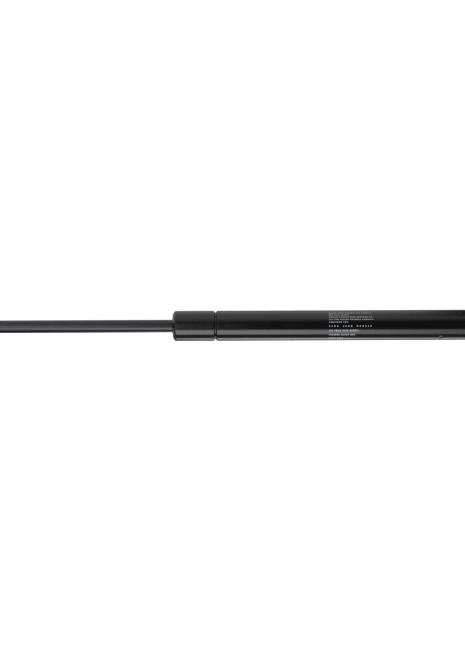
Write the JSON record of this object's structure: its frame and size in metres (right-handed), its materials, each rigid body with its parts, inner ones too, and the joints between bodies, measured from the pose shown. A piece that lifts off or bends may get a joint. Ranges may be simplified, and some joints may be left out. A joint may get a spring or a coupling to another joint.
{
  "type": "gas strut stay",
  "caption": "Gas-filled stay for a window or hatch: black pressure tube, thin piston rod that slides out of it, and a ball joint with a threaded stud at each end.",
  "frame": {"origin": "centre of the ball at the barrel end", "axes": "+X along the strut from the rod end to the barrel end, +Z away from the threaded studs, so both studs point along -Z"},
  "size_m": [0.5445, 0.019, 0.0355],
  "materials": {
    "barrel_paint": "satin black paint, slightly uneven",
    "nitrided_rod": "ground and nitrided black, semi-gloss",
    "black_moulding": "moulded glass-filled nylon, fine grain",
    "spring_steel": "bright drawn wire",
    "white_shell": "natural acetal, semi-gloss",
    "zinc_plating": "bright zinc plating",
    "bright_steel": "turned steel",
    "sintered_steel": "sintered, fine grain",
    "bronze": "rolled bronze liner",
    "seal_rubber": "matte black nitrile",
    "natural_nylon": "moulded, unpigmented"
  },
  "bodies": {
    "barrel": {"barrel_tube": "barrel_paint", "rod_wiper": "seal_rubber", "rod_guide": "sintered_steel", "guide_bush": "bronze", "rod_seal": "seal_rubber", "seal_washer": "bright_steel", "spacer_sleeve": "natural_nylon", "base_plug": "bright_steel", "base_o_ring": "seal_rubber", "barrel_end_socket": "black_moulding", "barrel_end_clip": "spring_steel"},
    "piston_ring": {"piston_ring": "natural_nylon"},
    "rod": {"piston_rod": "nitrided_rod", "piston_washer": "bright_steel", "piston": "sintered_steel", "orifice_disc": "bright_steel", "rod_end_socket": "black_moulding", "rod_end_clip": "spring_steel"},
    "barrel_ball_shell": {"barrel_ball_shell": "white_shell"},
    "barrel_ball_stud": {"barrel_ball_stud": "zinc_plating"},
    "rod_ball_shell": {"rod_ball_shell": "white_shell"},
    "rod_ball_stud": {"rod_ball_stud": "zinc_plating"}
  },
  "joints": [
    {"name": "rod_slide", "type": "slide", "parent": "barrel", "child": "piston_ring", "axis": [1, 0, 0], "range_m": [0, 0.2], "stiffness_N_per_m": 225, "springref_m": -0.66667},
    {"name": "rod_spin", "type": "hinge", "parent": "piston_ring", "child": "rod", "pos_m": [-0.2491, 0, 0], "axis": [1, 0, 0], "continuous": true},
    {"name": "barrel_ball_tilt", "type": "hinge", "parent": "barrel", "child": "barrel_ball_shell", "pos_m": [0, 0, 0], "axis": [0, 1, 0], "range_deg": [-18, 18]},
    {"name": "barrel_ball_turn", "type": "hinge", "parent": "barrel_ball_shell", "child": "barrel_ball_stud", "pos_m": [0, 0, 0], "axis": [0, 0, 1], "continuous": true},
    {"name": "rod_ball_tilt", "type": "hinge", "parent": "rod", "child": "rod_ball_shell", "pos_m": [-0.5205, 0, 0], "axis": [0, 1, 0], "range_deg": [-18, 18]},
    {"name": "rod_ball_turn", "type": "hinge", "parent": "rod_ball_shell", "child": "rod_ball_stud", "pos_m": [-0.5205, 0, 0], "axis": [0, 0, 1], "continuous": true}
  ]
}
